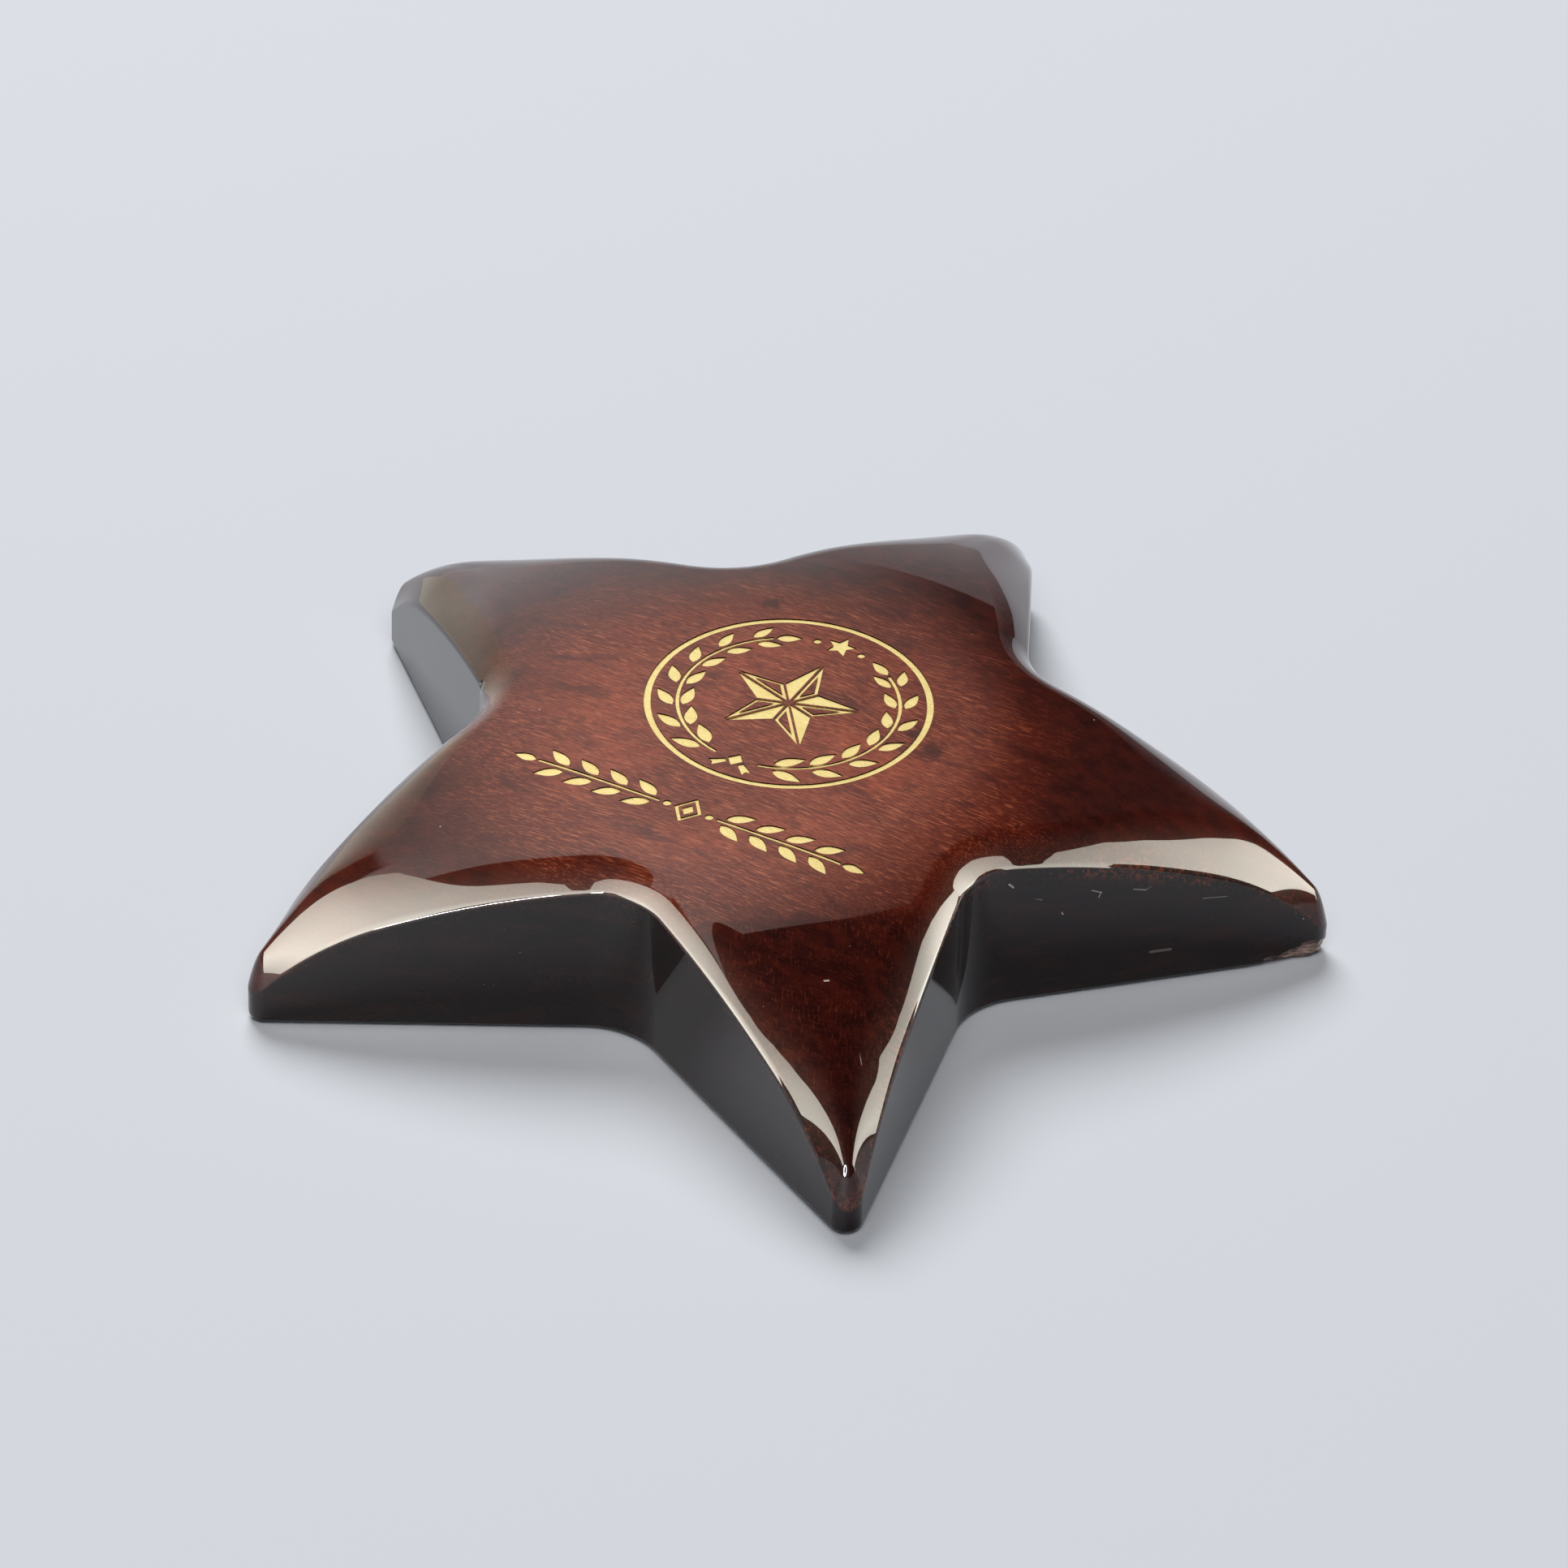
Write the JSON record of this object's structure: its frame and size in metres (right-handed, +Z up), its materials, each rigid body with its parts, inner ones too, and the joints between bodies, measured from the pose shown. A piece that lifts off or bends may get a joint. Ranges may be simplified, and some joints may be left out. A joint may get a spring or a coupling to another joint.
{
  "type": "star award paperweight",
  "caption": "Solid wood star award that lies flat on a desk, with a crowned glossy top, a gold-filled engraved laurel medallion and ornamental line, and a felt pad under its base.",
  "frame": {"origin": "centre of the star on the flat surface it lies on, which is the underside of the felt pad", "axes": "+Z up out of the engraved face, +Y along the arm that the top of the emblem points to, +X to the emblem's right"},
  "size_m": [0.1356, 0.1292, 0.0254],
  "materials": {
    "lacquered_wood": "dark red-brown rosewood stain with fine dark flecks under a thick mirror-gloss clear lacquer",
    "gold_fill": "bright gold fill in laser-engraved pockets, satin, with fine engraving lines",
    "adhesive_film": "thin translucent pressure-sensitive film",
    "felt": "black pressed wool felt, matte and fibrous"
  },
  "bodies": {
    "root": {"star_body": "lacquered_wood", "emblem_ring": "gold_fill", "emblem_star": "gold_fill", "emblem_crest": "gold_fill", "emblem_knot": "gold_fill", "laurel_left": "gold_fill", "laurel_right": "gold_fill", "garland_left": "gold_fill", "garland_right": "gold_fill", "garland_gem": "gold_fill", "pad_adhesive": "adhesive_film", "felt_pad": "felt"}
  },
  "joints": []
}
